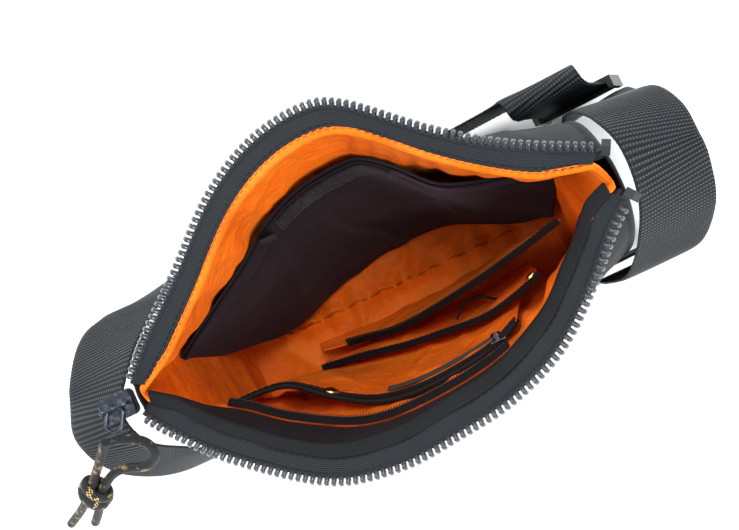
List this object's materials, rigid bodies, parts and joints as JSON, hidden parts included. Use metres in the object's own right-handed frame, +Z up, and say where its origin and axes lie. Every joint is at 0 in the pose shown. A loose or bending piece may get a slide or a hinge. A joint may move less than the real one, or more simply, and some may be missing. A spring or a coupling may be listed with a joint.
{
  "type": "zip-top shoulder bag",
  "caption": "Small soft shoulder bag standing open: zip mouth, orange lining, inside pockets, webbing strap and a cord zip pull.",
  "frame": {"origin": "middle of the flat base, on the surface the bag stands on", "axes": "+X along the mouth from the slider to the stops, +Y to the back, where the strap lies, +Z up"},
  "size_m": [0.3247, 0.1467, 0.2009],
  "materials": {
    "outer_nylon": "coated packcloth, slight sheen",
    "orange_lining": "thin orange nylon, soft sheen",
    "zip_tape": "dark slate woven polyester tape",
    "zip_teeth": "moulded acetal teeth, glossy",
    "slider_metal": "gunmetal lacquer on cast zinc",
    "paracord": "braided black cord with gold flecks",
    "black_pocket": "brushed black tricot",
    "hook_tape": "hook and loop tape",
    "black_twill": "black twill facing",
    "binding": "folded black binding tape",
    "label": "plain woven tape, no print",
    "brass": "polished snap caps",
    "webbing": "ribbed 38 mm webbing",
    "black_plastic": "moulded acetal"
  },
  "bodies": {
    "bag": {"back_lining": "orange_lining", "back_panel": "outer_nylon", "back_pocket_hem": "black_pocket", "back_pocket_panel": "black_pocket", "back_zip_tape": "zip_tape", "back_zip_teeth": "zip_teeth", "base_lining": "orange_lining", "base_panel": "outer_nylon", "corner_tab": "black_pocket", "divider_binding": "binding", "divider_panel": "orange_lining", "elastic_loop": "binding", "front_facing": "black_twill", "front_lining": "orange_lining", "front_panel": "outer_nylon", "front_zip_tape": "zip_tape", "front_zip_teeth": "zip_teeth", "hook_strip": "hook_tape", "label_strip": "label", "left_gusset": "outer_nylon", "left_gusset_lining": "orange_lining", "left_wing": "outer_nylon", "pen_binding": "binding", "pen_panel": "orange_lining", "pocket_zip_coil": "zip_teeth", "pocket_zip_tape": "zip_tape", "right_gusset": "outer_nylon", "right_gusset_lining": "orange_lining", "right_wing": "outer_nylon", "slider_body": "slider_metal", "slider_bridge": "slider_metal", "snap_caps": "brass", "strap_long": "webbing", "strap_right": "webbing", "zip_pocket_binding": "binding", "zip_pocket_panel": "orange_lining", "zip_top_stops": "zip_teeth"},
    "pull": {"pull_tab": "slider_metal", "pull_cord_a": "paracord", "pull_cord_b": "paracord", "pull_knot": "paracord"},
    "pocket_slider": {"pocket_slider": "slider_metal"},
    "pocket_pull": {"pocket_pull": "slider_metal"},
    "adjuster": {"strap_adjuster": "black_plastic"}
  },
  "joints": [
    {"name": "pull_tab_hinge", "type": "hinge", "parent": "bag", "child": "pull", "pos_m": [-0.1135, -0.001, 0.17841], "axis": [-0.8593, 0.5115, 0], "range_deg": [0, 35]},
    {"name": "pocket_slider_slide", "type": "slide", "parent": "bag", "child": "pocket_slider", "axis": [0.955, 0.2868, 0.0754], "range_m": [-0.007, 0.003]},
    {"name": "pocket_pull_hinge", "type": "hinge", "parent": "pocket_slider", "child": "pocket_pull", "pos_m": [0.03533, -0.04074, 0.14323], "axis": [1, 0, 0], "range_deg": [-5, 70]},
    {"name": "adjuster_slide", "type": "slide", "parent": "bag", "child": "adjuster", "axis": [-0.3714, 0, 0.9285], "range_m": [0, 0.012]}
  ]
}
